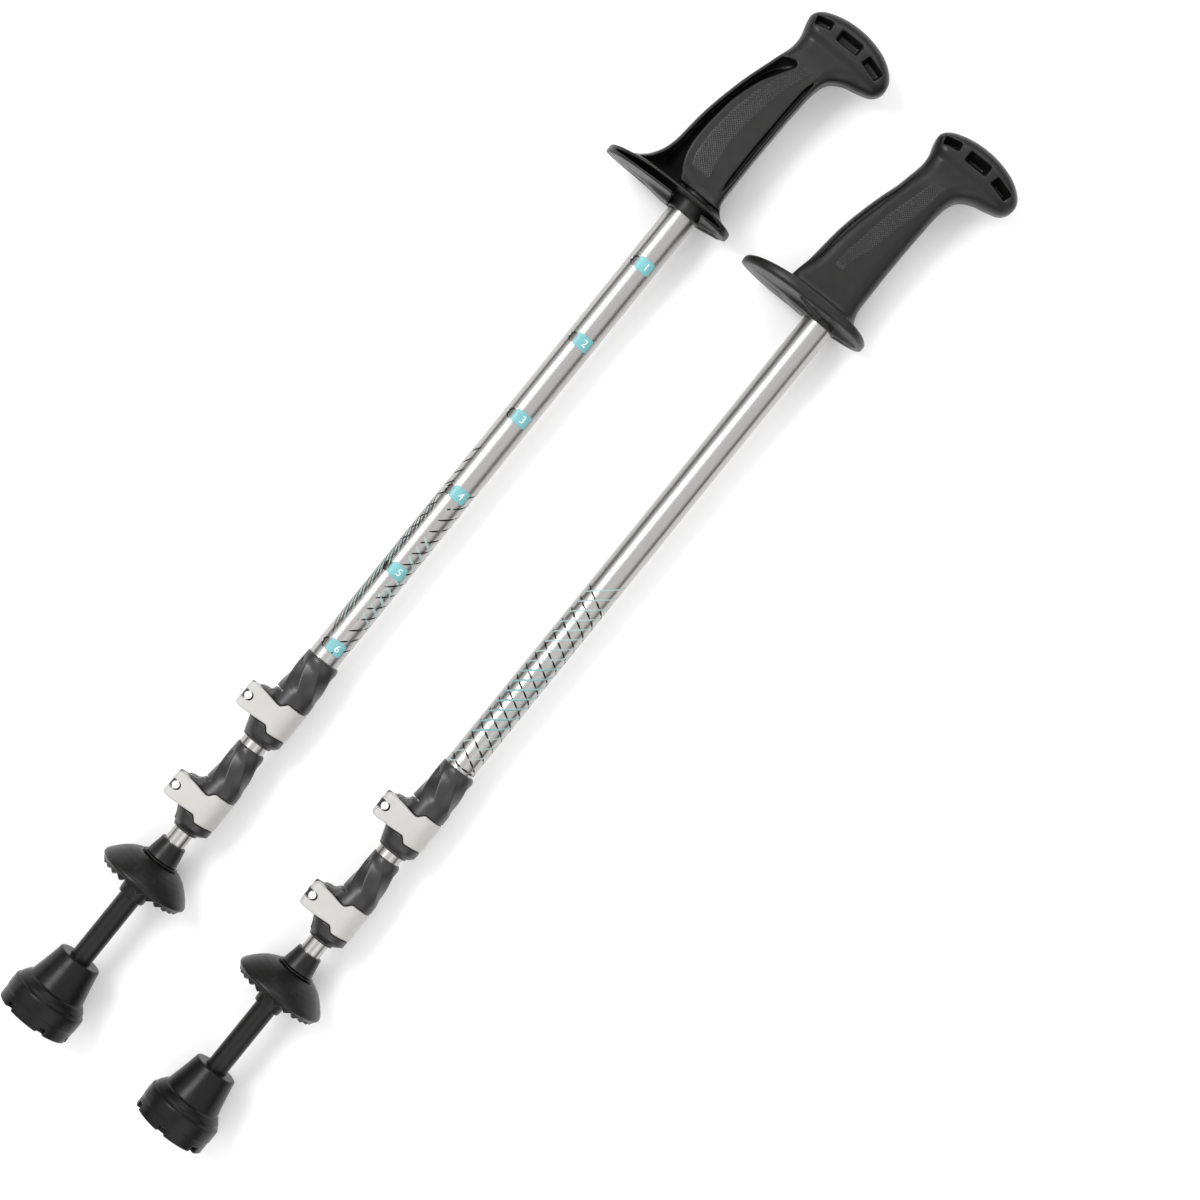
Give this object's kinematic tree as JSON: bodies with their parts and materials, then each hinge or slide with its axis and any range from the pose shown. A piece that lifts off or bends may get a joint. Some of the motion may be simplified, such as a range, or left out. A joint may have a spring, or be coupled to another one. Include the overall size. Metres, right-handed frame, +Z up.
{
  "type": "trekking poles",
  "caption": "Pair of collapsed telescoping trekking poles with T-shaped handles, flip-lock clamps, numbered height holes, small baskets and bell-shaped rubber boots, lying side by side.",
  "frame": {"origin": "centre of the pair's footprint, on the surface that the poles lie on", "axes": "+X along the poles, towards the handles; +Y across, towards the left pole; +Z up"},
  "size_m": [0.708, 0.195, 0.055],
  "materials": {
    "grip_plastic": "satin moulded plastic, near black",
    "grip_rubber": "knurled soft rubber, near black",
    "anodised_tube": "satin silver anodised tube with printed pattern on the upper section",
    "clamp_plastic": "satin moulded plastic, near black",
    "lever_plastic": "satin light warm grey plastic",
    "steel": "bright steel",
    "inner_plastic": "plain grey plastic",
    "tip_plastic": "satin moulded plastic, near black",
    "boot_rubber": "smooth satin rubber, near black",
    "hard_metal": "dark hard metal"
  },
  "bodies": {
    "left_upper_section": {"left_handle": "grip_plastic", "left_grip_pad": "grip_rubber", "left_grip_patch": "grip_rubber", "left_grip_collar": "grip_plastic", "left_tube_plug": "inner_plastic", "left_upper_tube": "anodised_tube", "left_upper_clamp": "clamp_plastic", "left_upper_lever_pin": "steel", "left_upper_tension_screw": "steel"},
    "left_upper_lever": {"left_upper_lever": "lever_plastic"},
    "left_upper_nut": {"left_upper_adjusting_nut": "clamp_plastic"},
    "left_middle_section": {"left_middle_tube": "anodised_tube", "left_middle_bush": "inner_plastic", "left_button_spring": "steel", "left_lower_clamp": "clamp_plastic", "left_lower_lever_pin": "steel", "left_lower_tension_screw": "steel"},
    "left_button": {"left_snap_button": "steel"},
    "left_lower_lever": {"left_lower_lever": "lever_plastic"},
    "left_lower_nut": {"left_lower_adjusting_nut": "clamp_plastic"},
    "left_lower_section": {"left_lower_tube": "anodised_tube", "left_lower_bush": "inner_plastic", "left_tip_shank": "tip_plastic", "left_carbide_tip": "hard_metal", "left_basket_ring": "tip_plastic"},
    "left_basket": {"left_basket": "tip_plastic"},
    "left_boot": {"left_rubber_boot": "boot_rubber", "left_boot_washer": "steel"},
    "right_upper_section": {"right_handle": "grip_plastic", "right_grip_pad": "grip_rubber", "right_grip_patch": "grip_rubber", "right_grip_collar": "grip_plastic", "right_tube_plug": "inner_plastic", "right_upper_tube": "anodised_tube", "right_upper_clamp": "clamp_plastic", "right_upper_lever_pin": "steel", "right_upper_tension_screw": "steel"},
    "right_upper_lever": {"right_upper_lever": "lever_plastic"},
    "right_upper_nut": {"right_upper_adjusting_nut": "clamp_plastic"},
    "right_middle_section": {"right_middle_tube": "anodised_tube", "right_middle_bush": "inner_plastic", "right_button_spring": "steel", "right_lower_clamp": "clamp_plastic", "right_lower_lever_pin": "steel", "right_lower_tension_screw": "steel"},
    "right_button": {"right_snap_button": "steel"},
    "right_lower_lever": {"right_lower_lever": "lever_plastic"},
    "right_lower_nut": {"right_lower_adjusting_nut": "clamp_plastic"},
    "right_lower_section": {"right_lower_tube": "anodised_tube", "right_lower_bush": "inner_plastic", "right_tip_shank": "tip_plastic", "right_carbide_tip": "hard_metal", "right_basket_ring": "tip_plastic"},
    "right_basket": {"right_basket": "tip_plastic"},
    "right_boot": {"right_rubber_boot": "boot_rubber", "right_boot_washer": "steel"}
  },
  "joints": [
    {"name": "left_middle_slide", "type": "slide", "parent": "left_upper_section", "child": "left_middle_section", "axis": [-1, 0, 0], "range_m": [0, 0.2786]},
    {"name": "left_lower_slide", "type": "slide", "parent": "left_middle_section", "child": "left_lower_section", "axis": [-1, 0, 0], "range_m": [0, 0.26]},
    {"name": "left_upper_lever_swing", "type": "hinge", "parent": "left_upper_section", "child": "left_upper_lever", "pos_m": [-0.1403, 0.0613, 0.0361], "axis": [-1, 0, 0], "range_deg": [0, 150]},
    {"name": "left_upper_nut_turn", "type": "hinge", "parent": "left_upper_section", "child": "left_upper_nut", "pos_m": [-0.1403, 0.0613, 0.0206], "axis": [0, 0, 1], "continuous": true},
    {"name": "left_lower_lever_swing", "type": "hinge", "parent": "left_middle_section", "child": "left_lower_lever", "pos_m": [-0.2032, 0.0613, 0.0361], "axis": [-1, 0, 0], "range_deg": [0, 150]},
    {"name": "left_lower_nut_turn", "type": "hinge", "parent": "left_middle_section", "child": "left_lower_nut", "pos_m": [-0.2032, 0.0613, 0.0206], "axis": [0, 0, 1], "continuous": true},
    {"name": "left_button_press", "type": "slide", "parent": "left_middle_section", "child": "left_button", "axis": [0, 0.4848, 0.8746], "range_m": [-0.0015, 0], "stiffness_N_per_m": 300, "springref_m": 0.003, "deforming": ["left_button_spring"]},
    {"name": "left_basket_turn", "type": "hinge", "parent": "left_lower_section", "child": "left_basket", "pos_m": [-0.2566, 0.0425, 0.0275], "axis": [1, 0, 0], "continuous": true},
    {"name": "left_boot_pull", "type": "slide", "parent": "left_lower_section", "child": "left_boot", "axis": [-1, 0, 0], "range_m": [0, 0.03]},
    {"name": "right_middle_slide", "type": "slide", "parent": "right_upper_section", "child": "right_middle_section", "axis": [-1, 0, 0], "range_m": [0, 0.2786]},
    {"name": "right_lower_slide", "type": "slide", "parent": "right_middle_section", "child": "right_lower_section", "axis": [-1, 0, 0], "range_m": [0, 0.26]},
    {"name": "right_upper_lever_swing", "type": "hinge", "parent": "right_upper_section", "child": "right_upper_lever", "pos_m": [-0.1403, -0.0347, 0.0361], "axis": [-1, 0, 0], "range_deg": [0, 150]},
    {"name": "right_upper_nut_turn", "type": "hinge", "parent": "right_upper_section", "child": "right_upper_nut", "pos_m": [-0.1403, -0.0347, 0.0206], "axis": [0, 0, 1], "continuous": true},
    {"name": "right_lower_lever_swing", "type": "hinge", "parent": "right_middle_section", "child": "right_lower_lever", "pos_m": [-0.2032, -0.0347, 0.0361], "axis": [-1, 0, 0], "range_deg": [0, 150]},
    {"name": "right_lower_nut_turn", "type": "hinge", "parent": "right_middle_section", "child": "right_lower_nut", "pos_m": [-0.2032, -0.0347, 0.0206], "axis": [0, 0, 1], "continuous": true},
    {"name": "right_button_press", "type": "slide", "parent": "right_middle_section", "child": "right_button", "axis": [0, 0.4848, -0.8746], "range_m": [-0.0015, 0], "stiffness_N_per_m": 300, "springref_m": 0.003, "deforming": ["right_button_spring"]},
    {"name": "right_basket_turn", "type": "hinge", "parent": "right_lower_section", "child": "right_basket", "pos_m": [-0.2566, -0.0535, 0.0275], "axis": [1, 0, 0], "continuous": true},
    {"name": "right_boot_pull", "type": "slide", "parent": "right_lower_section", "child": "right_boot", "axis": [-1, 0, 0], "range_m": [0, 0.03]},
    {"name": "right_pole_lift", "type": "slide", "parent": "left_upper_section", "child": "right_upper_section", "axis": [0, 0, 1], "range_m": [0, 0.1]}
  ]
}
